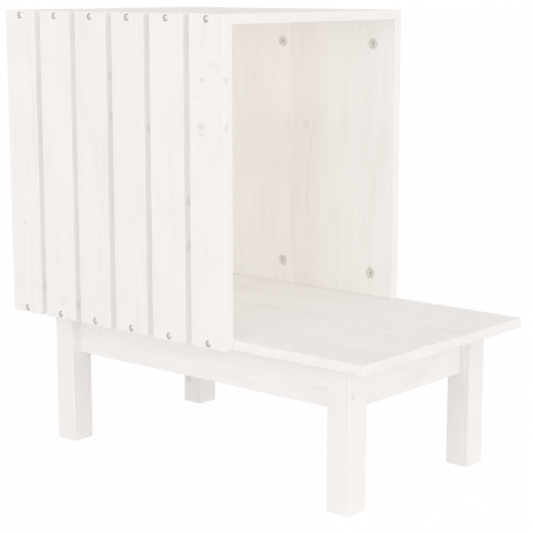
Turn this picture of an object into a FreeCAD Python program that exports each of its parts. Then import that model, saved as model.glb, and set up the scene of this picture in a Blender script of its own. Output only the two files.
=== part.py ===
import FreeCAD, Part
import math
import os

# Slatted cat house of white painted pine: a hood with a solid right wall, a solid back wall and a slatted
# left side stands on a longer platform, which is carried by four legs and their aprons.
# The hood is open at the front (+X). +Y points to the solid right wall, +Z up, millimetres.
# The origin is on the floor, under the middle of the whole object.

V = FreeCAD.Vector

# Overall sizes
overall_length = 600.0
overall_depth = 360.0
overall_height = 600.0
platform_height = 200.0

# Boards and slats
board_thick = 13.0
slat_count = 6
slat_width = 58.0
slat_gap = 10.0
slat_thick = 15.0
edge_ease = 1.2

# Legs and aprons
leg_side = 34.0
leg_inset_end = 40.0
leg_inset_side = 26.0
apron_height = 60.0
apron_thick = 13.0
apron_setback = 14.0

# Corner blocks, hanger bolts, washers and nuts that hold the legs
block_thick = 14.0
block_gap = 4.0
hanger_radius = 3.0
hanger_in_leg = 20.0
hanger_tail = 3.0
hanger_hole_clearance = 0.4
hanger_level_share = 0.72
hanger_tip = 3.0
washer_radius = 6.5
washer_thick = 1.5
nut_flats = 10.0
nut_height = 5.0

# Dowels
dowel_radius = 3.0
dowel_point = 1.0
wall_dowel_length = 30.0
wall_dowel_cover = 4.0
back_dowel_share = 0.25
apron_dowel_length = 24.0
side_apron_dowel_level_shares = (0.20, 0.467)
end_apron_dowel_level_shares = (0.333, 0.592)

# Cam locks and their bolts
cam_radius = 7.4
cam_clearance = 0.1
cam_edge_distance = 33.0
right_cam_pitch = 161.0
back_cam_pitch = 200.0
cam_throw = 0.75
cam_head_play = 0.15
cam_pocket_gap = 0.5
cam_entrance_play = 0.4
cam_slot_play = 0.3
cam_cross_length = 8.0
cam_cross_width = 1.7
cam_cross_depth = 1.5
cam_mark_depth = 0.6
cam_mark_length = 2.2
cam_mark_half_width = 1.1
cam_mark_rim = 0.6
bolt_head_radius = 3.0
bolt_neck_radius = 1.8
bolt_shank_radius = 3.3
bolt_shank_play = 0.2
bolt_shank_gap = 0.8
bolt_thread_radius = 3.0
bolt_thread_cover = 3.0

# Wood screws
screw_shank_radius = 1.75
screw_head_radius = 3.5
screw_head_height = 2.0
screw_tip = 5.0
screw_cross_length = 3.8
screw_cross_width = 0.9
screw_cross_depth = 1.4
slat_screw_length = 36.0
pan_head_radius = 3.7
pan_head_height = 2.2
pan_dome_radius = 5.0
pan_head_sink = 0.2
pan_bore_play = 0.45
platform_screw_cover = 4.0
block_screw_share = 0.55
block_screw_seat = 6.0
block_screw_cover = 4.0
counterbore_play = 0.3

# Clearance of a glued, driven or threaded piece in its hole, and the overrun of every cut
fit_clearance = 0.05
hole_end_gap = 0.3
overrun = 2.0

# Places that follow from the sizes
back_x = -overall_length / 2
front_x = overall_length / 2
hood_length = slat_count * slat_width + (slat_count - 1) * slat_gap
mouth_x = back_x + hood_length
hood_mid_x = (back_x + mouth_x) / 2
slat_face_y = -overall_depth / 2
left_y = slat_face_y + slat_thick
right_y = overall_depth / 2
right_wall_face_y = right_y - board_thick
right_wall_mid_y = right_y - board_thick / 2
back_wall_face_x = back_x + board_thick
back_wall_mid_x = back_x + board_thick / 2
back_wall_mid_y = (left_y + right_wall_face_y) / 2
platform_under = platform_height - board_thick
roof_under = overall_height - board_thick

base_mid_y = (left_y + right_y) / 2
leg_outer_x = overall_length / 2 - leg_inset_end
leg_outer_y = (right_y - left_y) / 2 - leg_inset_side
leg_inner_x = leg_outer_x - leg_side
leg_inner_y = leg_outer_y - leg_side
apron_outer_x = leg_outer_x - apron_setback
apron_outer_y = leg_outer_y - apron_setback
apron_inner_x = apron_outer_x - apron_thick
apron_inner_y = apron_outer_y - apron_thick
apron_under = platform_under - apron_height
leg_nose = leg_side - apron_setback - apron_thick
hanger_level = apron_under + hanger_level_share * apron_height
block_height = 2 * (platform_under - hanger_level)
block_under = platform_under - block_height
block_near = 2 * leg_nose + block_gap * math.sqrt(2)
block_far = block_near + block_thick * math.sqrt(2)
block_mid = (block_near + block_far) / 2

cam_height = board_thick / 2 + bolt_head_radius + cam_pocket_gap
cam_disc_thick = board_thick / 2 - bolt_head_radius - cam_pocket_gap
cam_pocket_radius = bolt_head_radius + cam_throw + cam_head_play
cam_entrance_width = 2 * (bolt_head_radius + cam_entrance_play)
cam_slot_width = 2 * (bolt_neck_radius + cam_slot_play)
bolt_shank_length = cam_edge_distance - cam_radius - bolt_shank_gap
bolt_thread_length = board_thick - bolt_thread_cover
wall_dowel_in_face = board_thick - wall_dowel_cover

ends = (("front", 1), ("back", -1))
sides = (("left", -1), ("right", 1))
levels = (("bottom", platform_height, -1), ("top", roof_under, 1))


# General shapes

def box(low, high):
    return Part.makeBox(high.x - low.x, high.y - low.y, high.z - low.z, low)


def eased_board(low, high):
    blank = box(low, high)
    return blank.makeFillet(edge_ease, blank.Edges)


def placed(shape, base, direction):
    shape.Placement = FreeCAD.Placement(base, FreeCAD.Rotation(V(0, 0, 1), direction))
    return shape


def turned(outline):
    # Solid of revolution about Z; the outline is (radius, height) points from axis to axis
    points = [V(radius, 0, height) for radius, height in outline]
    face = Part.Face(Part.makePolygon(points + points[:1]))
    return face.revolve(V(0, 0, 0), V(0, 0, 1), 360)


def drill(mouth, direction, radius, depth):
    # Cutter for a round hole that starts at mouth; it stands out of the mouth by the overrun
    return Part.makeCylinder(radius, depth + overrun, mouth - direction * overrun, direction)


def cross_cutter(length, width, depth):
    # Cross recess cut down from z = 0
    arm = box(V(-length / 2, -width / 2, -depth), V(length / 2, width / 2, overrun))
    other = box(V(-width / 2, -length / 2, -depth), V(width / 2, length / 2, overrun))
    return arm.fuse(other)


def cut_all(shape, cutters):
    return shape.cut(cutters) if cutters else shape


def save(name, *solids):
    shape = solids[0] if len(solids) == 1 else Part.makeCompound(list(solids))
    shape.exportStep(os.path.join("parts", name + ".step"))


# Fasteners

def wood_screw(length, head, direction):
    # Countersunk screw: its head's flat top is at head and it points along direction
    body = turned([
        (0, 0),
        (screw_head_radius, 0),
        (screw_shank_radius, screw_head_height),
        (screw_shank_radius, length - screw_tip),
        (0, length),
    ])
    cross = cross_cutter(screw_cross_length, screw_cross_width, screw_cross_depth)
    placed(cross, V(0, 0, 0), V(0, 0, -1))
    return placed(body.cut(cross), head, direction)


def screw_hole(length, head, direction):
    # Countersunk hole for a screw whose head is flush with the surface
    slope = (screw_head_radius - screw_shank_radius) / screw_head_height
    cone = Part.makeCone(
        screw_head_radius + fit_clearance + overrun * slope,
        screw_shank_radius + fit_clearance,
        screw_head_height + overrun,
    )
    placed(cone, head - direction * overrun, direction)
    shank = Part.makeCylinder(screw_shank_radius + fit_clearance, length + hole_end_gap, head, direction)
    return cone.fuse(shank)


def pan_screw(length, seat, direction):
    # Screw with a domed head that stands on the bottom of its counterbore, at seat
    shank = turned([
        (0, 0),
        (screw_shank_radius, 0),
        (screw_shank_radius, length - screw_tip),
        (0, length),
    ])
    drum = Part.makeCylinder(pan_head_radius, pan_head_height, V(0, 0, -pan_head_height))
    dome = Part.makeSphere(pan_dome_radius, V(0, 0, pan_dome_radius - pan_head_height))
    cross = cross_cutter(screw_cross_length, screw_cross_width, screw_cross_depth)
    placed(cross, V(0, 0, -pan_head_height), V(0, 0, -1))
    body = drum.common(dome).fuse(shank).removeSplitter().cut(cross)
    return placed(body, seat, direction)


def pan_screw_hole(length, seat, direction):
    bore_depth = pan_head_height + pan_head_sink + overrun
    bore = Part.makeCylinder(pan_head_radius + pan_bore_play, bore_depth, seat, -direction)
    shank = Part.makeCylinder(screw_shank_radius + fit_clearance, length + hole_end_gap, seat, direction)
    return bore.fuse(shank)


def dowel(middle_of_joint, direction, length, depth_behind):
    # Fluteless wooden dowel; depth_behind of it lies behind the joint face
    body = turned([
        (0, 0),
        (dowel_radius - dowel_point, 0),
        (dowel_radius, dowel_point),
        (dowel_radius, length - dowel_point),
        (dowel_radius - dowel_point, length),
        (0, length),
    ])
    return placed(body, middle_of_joint - direction * depth_behind, direction)


def dowel_hole(mouth, direction, depth):
    return drill(mouth, direction, dowel_radius + fit_clearance, depth + hole_end_gap)


def cam_bolt(seat, direction):
    # Bolt screwed into a board at seat; its ball head reaches the middle of the cam
    thread = Part.makeCylinder(bolt_thread_radius, bolt_thread_length, V(0, 0, -bolt_thread_length))
    shank = Part.makeCylinder(bolt_shank_radius, bolt_shank_length)
    neck = Part.makeCylinder(bolt_neck_radius, cam_edge_distance)
    ball = Part.makeSphere(bolt_head_radius, V(0, 0, cam_edge_distance))
    body = thread.fuse([shank, neck, ball]).removeSplitter()
    return placed(body, seat, direction)


def cam_lock(face_centre, outward, to_bolt):
    # Eccentric disc that draws the bolt's ball in, locked.
    # It is built with its face at z = 0 and the bolt along +X, then placed.
    body = Part.makeCylinder(cam_radius, cam_height, V(0, 0, -cam_height))
    pocket_depth = cam_height - cam_disc_thick
    pocket_low = -cam_height - overrun
    pocket = Part.makeCylinder(cam_pocket_radius, pocket_depth + overrun, V(-cam_throw, 0, pocket_low))
    entrance = box(
        V(-cam_radius - overrun, -cam_entrance_width / 2, pocket_low),
        V(0, cam_entrance_width / 2, -cam_disc_thick),
    )
    slot_low = -board_thick / 2 - cam_slot_width / 2
    slot_high = -board_thick / 2 + cam_slot_width / 2
    slot_run = box(
        V(-cam_radius - overrun, -cam_radius - overrun, slot_low),
        V(cam_radius + overrun, 0, slot_high),
    )
    slot_end = box(
        V(0, -cam_slot_width / 2, slot_low),
        V(cam_radius + overrun, cam_slot_width / 2, slot_high),
    )
    cross = cross_cutter(cam_cross_length, cam_cross_width, cam_cross_depth)
    mark_tip = cam_radius - cam_mark_rim
    mark = Part.Face(Part.makePolygon([
        V(-mark_tip, 0, -cam_mark_depth),
        V(-mark_tip + cam_mark_length, -cam_mark_half_width, -cam_mark_depth),
        V(-mark_tip + cam_mark_length, cam_mark_half_width, -cam_mark_depth),
        V(-mark_tip, 0, -cam_mark_depth),
    ])).extrude(V(0, 0, cam_mark_depth + overrun))
    body = body.cut([pocket, entrance, slot_run, slot_end, cross, mark])
    turn = FreeCAD.Rotation(to_bolt, outward.cross(to_bolt), outward, "ZXY")
    body.Placement = FreeCAD.Placement(face_centre, turn)
    return body


# Cam joints: each wall is drawn to the platform and to the roof by cams along its lower and upper edge

class CamJoint:
    def __init__(self, name, edge_x, edge_y, face_x, face_y, outward, level):
        label, edge_z, up = level
        self.name = name
        self.board = "platform" if label == "bottom" else "roof"
        self.to_bolt = V(0, 0, up)
        self.into_wall = V(0, 0, -up)
        self.outward = outward
        self.seat = V(edge_x, edge_y, edge_z)
        self.face_centre = V(face_x, face_y, edge_z - up * cam_edge_distance)

    def wall_cuts(self):
        bore = drill(self.face_centre, -self.outward, cam_radius + cam_clearance, cam_height + cam_clearance)
        channel = drill(self.seat, self.into_wall, bolt_shank_radius + bolt_shank_play, cam_edge_distance)
        return [bore, channel]

    def board_cut(self):
        depth = bolt_thread_length + hole_end_gap
        return drill(self.seat, self.to_bolt, bolt_thread_radius + fit_clearance, depth)

    def bolt(self):
        return cam_bolt(self.seat, self.into_wall)

    def cam(self):
        return cam_lock(self.face_centre, self.outward, self.to_bolt)


right_cams = [
    CamJoint(
        f"right_wall_cam_{level[0]}_{place}",
        hood_mid_x + step * right_cam_pitch, right_wall_mid_y,
        hood_mid_x + step * right_cam_pitch, right_wall_face_y,
        V(0, -1, 0), level,
    )
    for level in levels
    for place, step in (("back", -1), ("middle", 0), ("front", 1))
]
back_cams = [
    CamJoint(
        f"back_wall_cam_{level[0]}_{place}",
        back_wall_mid_x, back_wall_mid_y + step * back_cam_pitch / 2,
        back_wall_face_x, back_wall_mid_y + step * back_cam_pitch / 2,
        V(1, 0, 0), level,
    )
    for level in levels
    for place, step in sides
]

# Places of the wall dowels on each joint line: between the cams
right_dowel_places = [V(hood_mid_x + step * right_cam_pitch / 2, right_wall_mid_y, 0) for step in (-1, 1)]
back_dowel_places = [
    V(back_wall_mid_x, back_wall_mid_y + step * back_dowel_share * back_cam_pitch, 0) for step in (-1, 1)
]


def wall_cuts(cams, dowel_places):
    cuts = [cut for joint in cams for cut in joint.wall_cuts()]
    for place in dowel_places:
        for _, edge_z, up in levels:
            mouth = V(place.x, place.y, edge_z)
            cuts.append(dowel_hole(mouth, V(0, 0, -up), wall_dowel_length - wall_dowel_in_face))
    return cuts


def board_cuts(board, level):
    # Holes in the platform or the roof for the bolts and dowels of both walls
    _, edge_z, up = level
    cuts = [joint.board_cut() for joint in right_cams + back_cams if joint.board == board]
    for place in right_dowel_places + back_dowel_places:
        cuts.append(dowel_hole(V(place.x, place.y, edge_z), V(0, 0, up), wall_dowel_in_face))
    return cuts


# Slats and their screws

def slat_left_edge(number):
    return back_x + (number - 1) * (slat_width + slat_gap)


slat_numbers = range(1, slat_count + 1)
slat_screw_levels = (platform_height - board_thick / 2, overall_height - board_thick / 2)


def slat_screw_seat(number, level):
    middle = slat_left_edge(number) + slat_width / 2
    return V(middle, slat_face_y + pan_head_sink + pan_head_height, level)


def slat_screw_cut(number, level):
    return pan_screw_hole(slat_screw_length, slat_screw_seat(number, level), V(0, 1, 0))


def slat(number):
    left = slat_left_edge(number)
    blank = eased_board(V(left, slat_face_y, platform_under), V(left + slat_width, left_y, overall_height))
    return cut_all(blank, [slat_screw_cut(number, level) for level in slat_screw_levels])


def slat_screws():
    return [
        pan_screw(slat_screw_length, slat_screw_seat(number, level), V(0, 1, 0))
        for number in slat_numbers
        for level in slat_screw_levels
    ]


# Base: every corner has a leg, a block, a hanger bolt with washer and nut, and four screws

class Corner:
    def __init__(self, end, end_sign, side, side_sign):
        self.name = f"{end}_{side}"
        self.end_sign = end_sign
        self.side_sign = side_sign
        self.inward_x = V(-end_sign, 0, 0)
        self.inward_y = V(0, -side_sign, 0)
        self.diagonal = (self.inward_x + self.inward_y).normalize()
        self.across = (self.inward_x - self.inward_y).normalize()

    def point(self, from_end_apron, from_side_apron, level):
        # Point given by its distances inward from the inner faces of the two aprons that meet here
        x = self.end_sign * (apron_inner_x - from_end_apron)
        y = base_mid_y + self.side_sign * (apron_inner_y - from_side_apron)
        return V(x, y, level)

    def leg_blank(self):
        outer = V(self.end_sign * leg_outer_x, base_mid_y + self.side_sign * leg_outer_y, 0)
        inner = V(self.end_sign * leg_inner_x, base_mid_y + self.side_sign * leg_inner_y, platform_under)
        low = V(min(outer.x, inner.x), min(outer.y, inner.y), outer.z)
        high = V(max(outer.x, inner.x), max(outer.y, inner.y), inner.z)
        return eased_board(low, high)

    def side_apron_dowels(self):
        # Joint points where the apron along X meets this leg
        x = self.end_sign * leg_inner_x
        y = base_mid_y + self.side_sign * (apron_outer_y - apron_thick / 2)
        return [V(x, y, apron_under + share * apron_height) for share in side_apron_dowel_level_shares]

    def end_apron_dowels(self):
        # Joint points where the apron along Y meets this leg
        x = self.end_sign * (apron_outer_x - apron_thick / 2)
        y = base_mid_y + self.side_sign * leg_inner_y
        return [V(x, y, apron_under + share * apron_height) for share in end_apron_dowel_level_shares]

    def hanger_start(self):
        return self.point(leg_nose, leg_nose, hanger_level) - self.diagonal * hanger_in_leg

    def leg(self):
        depth = apron_dowel_length / 2
        cuts = [dowel_hole(joint, -self.inward_x, depth) for joint in self.side_apron_dowels()]
        cuts += [dowel_hole(joint, -self.inward_y, depth) for joint in self.end_apron_dowels()]
        radius = hanger_radius + fit_clearance
        start = self.hanger_start() - self.diagonal * hole_end_gap
        cuts.append(Part.makeCylinder(radius, hanger_in_leg + hole_end_gap + overrun, start, self.diagonal))
        return cut_all(self.leg_blank(), cuts)

    def washer_face(self):
        # Middle of the block's face towards the room
        return self.point(block_far / 2, block_far / 2, hanger_level)

    def platform_screw_heads(self):
        middle = self.point(block_mid / 2, block_mid / 2, block_under)
        reach = block_screw_share * block_mid / math.sqrt(2)
        return [middle + self.across * reach, middle - self.across * reach]

    def block_screws(self):
        # Head and direction of the two screws that hold the block to its aprons
        to_side = self.point(block_mid, block_screw_seat, hanger_level)
        to_end = self.point(block_screw_seat, block_mid, hanger_level)
        return [(to_side, -self.inward_y), (to_end, -self.inward_x)]

    def block(self):
        outline = [
            self.point(block_near, 0, block_under),
            self.point(block_far, 0, block_under),
            self.point(0, block_far, block_under),
            self.point(0, block_near, block_under),
        ]
        blank = Part.Face(Part.makePolygon(outline + outline[:1])).extrude(V(0, 0, block_height))
        start = self.washer_face() - self.diagonal * (block_thick + overrun)
        cuts = [Part.makeCylinder(
            hanger_radius + hanger_hole_clearance, block_thick + 2 * overrun, start, self.diagonal)]
        for head in self.platform_screw_heads():
            cuts.append(screw_hole(platform_screw_length, head, V(0, 0, 1)))
        for head, direction in self.block_screws():
            cuts.append(screw_hole(block_screw_length, head, direction))
            cuts.append(Part.makeCylinder(
                screw_head_radius + counterbore_play, block_far, head, -direction))
        return cut_all(blank, cuts)

    def hanger_bolt(self):
        reach = hanger_in_leg + block_gap + block_thick + washer_thick + nut_height + hanger_tail
        body = turned([
            (0, 0),
            (hanger_radius, hanger_tip),
            (hanger_radius, reach),
            (0, reach),
        ])
        return placed(body, self.hanger_start(), self.diagonal)

    def washer(self):
        face = self.washer_face()
        ring = Part.makeCylinder(washer_radius, washer_thick, face, self.diagonal)
        radius = hanger_radius + hanger_hole_clearance
        return ring.cut(drill(face, self.diagonal, radius, washer_thick + overrun))

    def nut(self):
        seat = self.washer_face() + self.diagonal * washer_thick
        corner_radius = nut_flats / math.sqrt(3)
        angles = [math.radians(60 * side) for side in range(7)]
        outline = [V(corner_radius * math.cos(a), corner_radius * math.sin(a), 0) for a in angles]
        body = Part.Face(Part.makePolygon(outline)).extrude(V(0, 0, nut_height))
        bore = Part.makeCylinder(hanger_radius + fit_clearance, nut_height + 2 * overrun, V(0, 0, -overrun))
        return placed(body.cut(bore), seat, self.diagonal)


corners = [Corner(end, end_sign, side, side_sign) for end, end_sign in ends for side, side_sign in sides]
platform_screw_length = block_height + board_thick - platform_screw_cover
block_screw_length = block_screw_seat + apron_thick - block_screw_cover


def side_apron(side_sign):
    # Apron along X between the two legs of one side
    faces = sorted(base_mid_y + side_sign * y for y in (apron_inner_y, apron_outer_y))
    blank = eased_board(
        V(-leg_inner_x, faces[0], apron_under), V(leg_inner_x, faces[1], platform_under))
    cuts = []
    for corner in corners:
        if corner.side_sign == side_sign:
            depth = apron_dowel_length / 2
            cuts += [dowel_hole(joint, corner.inward_x, depth) for joint in corner.side_apron_dowels()]
            head, direction = corner.block_screws()[0]
            cuts.append(screw_hole(block_screw_length, head, direction))
    return cut_all(blank, cuts)


def end_apron(end_sign):
    # Apron along Y between the two legs of one end
    faces = sorted(end_sign * x for x in (apron_inner_x, apron_outer_x))
    blank = eased_board(
        V(faces[0], base_mid_y - leg_inner_y, apron_under),
        V(faces[1], base_mid_y + leg_inner_y, platform_under),
    )
    cuts = []
    for corner in corners:
        if corner.end_sign == end_sign:
            depth = apron_dowel_length / 2
            cuts += [dowel_hole(joint, corner.inward_y, depth) for joint in corner.end_apron_dowels()]
            head, direction = corner.block_screws()[1]
            cuts.append(screw_hole(block_screw_length, head, direction))
    return cut_all(blank, cuts)


def apron_dowels():
    depth = apron_dowel_length / 2
    found = []
    for corner in corners:
        for joint in corner.side_apron_dowels():
            found.append(dowel(joint, corner.inward_x, apron_dowel_length, depth))
        for joint in corner.end_apron_dowels():
            found.append(dowel(joint, corner.inward_y, apron_dowel_length, depth))
    return found


# The four boards

def platform():
    blank = eased_board(V(back_x, left_y, platform_under), V(front_x, right_y, platform_height))
    cuts = board_cuts("platform", levels[0])
    cuts += [slat_screw_cut(number, slat_screw_levels[0]) for number in slat_numbers]
    for corner in corners:
        for head in corner.platform_screw_heads():
            cuts.append(screw_hole(platform_screw_length, head, V(0, 0, 1)))
    return cut_all(blank, cuts)


def roof():
    blank = eased_board(V(back_x, left_y, roof_under), V(mouth_x, right_y, overall_height))
    cuts = board_cuts("roof", levels[1])
    cuts += [slat_screw_cut(number, slat_screw_levels[1]) for number in slat_numbers]
    return cut_all(blank, cuts)


def right_wall():
    low = V(back_x, right_wall_face_y, platform_height)
    blank = eased_board(low, V(mouth_x, right_y, roof_under))
    return cut_all(blank, wall_cuts(right_cams, right_dowel_places))


def back_wall():
    low = V(back_x, left_y, platform_height)
    blank = eased_board(low, V(back_wall_face_x, right_wall_face_y, roof_under))
    return cut_all(blank, wall_cuts(back_cams, back_dowel_places))


def wall_dowels():
    found = []
    for place in right_dowel_places + back_dowel_places:
        for _, edge_z, up in levels:
            joint = V(place.x, place.y, edge_z)
            found.append(dowel(joint, V(0, 0, -up), wall_dowel_length, wall_dowel_in_face))
    return found


# Every piece is written to its own file

os.makedirs("parts", exist_ok=True)

save("platform", platform())
save("roof", roof())
save("right_wall", right_wall())
save("back_wall", back_wall())
save("wall_dowels", *wall_dowels())

for number in slat_numbers:
    save(f"slat_{number}", slat(number))
save("slat_screws", *slat_screws())

for joint in right_cams + back_cams:
    save(joint.name, joint.cam())
save("right_wall_cam_bolts", *[joint.bolt() for joint in right_cams])
save("back_wall_cam_bolts", *[joint.bolt() for joint in back_cams])

for corner in corners:
    save(f"{corner.name}_leg", corner.leg())
    save(f"{corner.name}_corner_block", corner.block())
for side, side_sign in sides:
    save(f"{side}_apron", side_apron(side_sign))
for end, end_sign in ends:
    save(f"{end}_apron", end_apron(end_sign))
save("apron_dowels", *apron_dowels())
save("hanger_bolts", *[corner.hanger_bolt() for corner in corners])
save("leg_washers", *[corner.washer() for corner in corners])
save("leg_nuts", *[corner.nut() for corner in corners])
save("platform_screws", *[
    wood_screw(platform_screw_length, head, V(0, 0, 1))
    for corner in corners
    for head in corner.platform_screw_heads()
])
save("block_screws", *[
    wood_screw(block_screw_length, head, direction)
    for corner in corners
    for head, direction in corner.block_screws()
])
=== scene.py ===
import bpy
import math
from mathutils import Matrix, Vector


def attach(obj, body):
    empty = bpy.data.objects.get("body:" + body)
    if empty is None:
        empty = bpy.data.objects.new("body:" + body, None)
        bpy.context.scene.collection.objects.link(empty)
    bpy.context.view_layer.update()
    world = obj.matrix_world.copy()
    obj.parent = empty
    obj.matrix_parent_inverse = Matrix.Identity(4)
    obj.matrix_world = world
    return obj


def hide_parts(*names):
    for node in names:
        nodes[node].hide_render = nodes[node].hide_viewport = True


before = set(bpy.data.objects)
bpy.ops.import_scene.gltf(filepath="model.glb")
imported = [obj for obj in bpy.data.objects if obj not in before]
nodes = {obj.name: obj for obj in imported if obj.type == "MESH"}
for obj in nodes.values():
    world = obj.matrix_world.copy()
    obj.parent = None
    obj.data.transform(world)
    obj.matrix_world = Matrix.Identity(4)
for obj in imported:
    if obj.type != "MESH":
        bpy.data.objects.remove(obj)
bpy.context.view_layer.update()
mm = 0.001
print("frame loaded:", len(nodes), "nodes")


# camera at the photograph's viewpoint
cameraRig = {
    "place": (1.3417, -1.5529, 0.6353),  # metres
    "lens": 104.06, "sensor": 36,        # millimetres
    "yaw": 40.606,                       # degrees from +Y towards -X
    "pitch": 10.412,                     # degrees down
    "farEnd": 200,                       # metres
}


def addCamera():
    yaw = math.radians(cameraRig["yaw"])
    pitch = math.radians(cameraRig["pitch"])
    ahead = Vector((-math.sin(yaw) * math.cos(pitch), math.cos(yaw) * math.cos(pitch), -math.sin(pitch)))
    lens = bpy.data.cameras.new("photoCamera")
    lens.lens = cameraRig["lens"]
    lens.sensor_width = cameraRig["sensor"]
    lens.clip_end = cameraRig["farEnd"]
    camera = bpy.data.objects.new("photoCamera", lens)
    camera.location = cameraRig["place"]
    camera.rotation_euler = ahead.to_track_quat("-Z", "Y").to_euler()
    bpy.context.scene.collection.objects.link(camera)
    bpy.context.scene.camera = camera


addCamera()
print("camera placed")


# node helpers
def addNode(tree, kind, **settings):
    made = tree.nodes.new(kind)
    for name, value in settings.items():
        setattr(made, name, value)
    return made


def feed(tree, socket, value):
    # a socket is linked, anything else is typed in
    if isinstance(value, bpy.types.NodeSocket):
        tree.links.new(value, socket)
    else:
        socket.default_value = value


def calc(tree, operation, first, second=None, third=None):
    made = addNode(tree, "ShaderNodeMath", operation=operation)
    for index, value in enumerate((first, second, third)):
        if value is not None:
            feed(tree, made.inputs[index], value)
    return made.outputs[0]


def vectorCalc(tree, operation, first, second):
    made = addNode(tree, "ShaderNodeVectorMath", operation=operation)
    feed(tree, made.inputs[0], first)
    feed(tree, made.inputs[1], second)
    return made.outputs["Vector"]


def vectorLength(tree, vector):
    made = addNode(tree, "ShaderNodeVectorMath", operation="LENGTH")
    feed(tree, made.inputs[0], vector)
    return made.outputs["Value"]


def splitVector(tree, vector):
    made = addNode(tree, "ShaderNodeSeparateXYZ")
    feed(tree, made.inputs[0], vector)
    return made.outputs


def joinVector(tree, *parts):
    made = addNode(tree, "ShaderNodeCombineXYZ")
    for index, value in enumerate(parts):
        feed(tree, made.inputs[index], value)
    return made.outputs[0]


def splitColour(tree, colour):
    made = addNode(tree, "ShaderNodeSeparateColor")
    feed(tree, made.inputs[0], colour)
    return made.outputs


def smoothRange(tree, value, low, high, toLow=0.0, toHigh=1.0):
    # a range in a look is low and high, or all four of these numbers
    made = addNode(tree, "ShaderNodeMapRange", interpolation_type="SMOOTHSTEP")
    for label, setting in (("Value", value), ("From Min", low), ("From Max", high), ("To Min", toLow),
                           ("To Max", toHigh)):
        feed(tree, made.inputs[label], setting)
    return made.outputs["Result"]


def mixColour(tree, amount, first, second):
    made = addNode(tree, "ShaderNodeMix", data_type="RGBA", blend_type="MIX")
    feed(tree, made.inputs["Factor"], amount)
    feed(tree, made.inputs["A"], first)
    feed(tree, made.inputs["B"], second)
    return made.outputs["Result"]


def noise(tree, vector, scale, detail=2.0, roughness=0.5):
    made = addNode(tree, "ShaderNodeTexNoise", noise_dimensions="3D")
    feed(tree, made.inputs["Vector"], vector)
    made.inputs["Scale"].default_value = scale
    made.inputs["Detail"].default_value = detail
    made.inputs["Roughness"].default_value = roughness
    return made.outputs


def newGroup(name, inputs, outputs):
    kinds = {"Vector": "NodeSocketVector", "Centre": "NodeSocketVector", "Size": "NodeSocketVector"}
    tree = bpy.data.node_groups.new(name, "ShaderNodeTree")
    for label in inputs:
        tree.interface.new_socket(name=label, in_out="INPUT", socket_type=kinds.get(label, "NodeSocketFloat"))
    for label in outputs:
        tree.interface.new_socket(name=label, in_out="OUTPUT", socket_type="NodeSocketFloat")
    return tree, addNode(tree, "NodeGroupInput").outputs, addNode(tree, "NodeGroupOutput").inputs


def placeGroup(tree, group, **values):
    made = addNode(tree, "ShaderNodeGroup", node_tree=group)
    for label, value in values.items():
        feed(tree, made.inputs[label], value)
    return made.outputs


def newMaterial(name):
    made = bpy.data.materials.new(name)
    made.use_nodes = True
    return made, made.node_tree, made.node_tree.nodes["Principled BSDF"]


def addBump(tree, surface, height, strength, distance):
    bump = addNode(tree, "ShaderNodeBump")
    bump.inputs["Strength"].default_value = strength
    bump.inputs["Distance"].default_value = distance
    feed(tree, bump.inputs["Height"], height)
    feed(tree, surface.inputs["Normal"], bump.outputs["Normal"])


# pine: growth rings round a pith line, fibres and blotches; the grain runs along Z of the vector, and the
# board is glued up from strips side by side along X
pine = {
    "lotShift": 7.0,  # metres along the grain that strips differ by at most
    "waveSquash": 3.0, "waveScale": 2.2, "waveAcross": 0.03, "waveDepth": 0.02, "lean": 0.012,
    "yearScale": 90.0, "yearSpread": 1.3, "lateRise": (0.30, 0.88), "lateFall": (0.90, 1.0, 1.0, 0.0),
    # each noise: how fast it changes along the grain, then scale, detail and roughness
    "noises": {
        "Fibre": (0.02, 620.0, 3.0, 0.6),    # fine fibres
        "Blotch": (0.35, 24.0, 3.0, 0.55),   # soft blotches
        "Streak": (0.09, 120.0, 2.0, 0.5),   # broad streaks
    },
}


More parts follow.
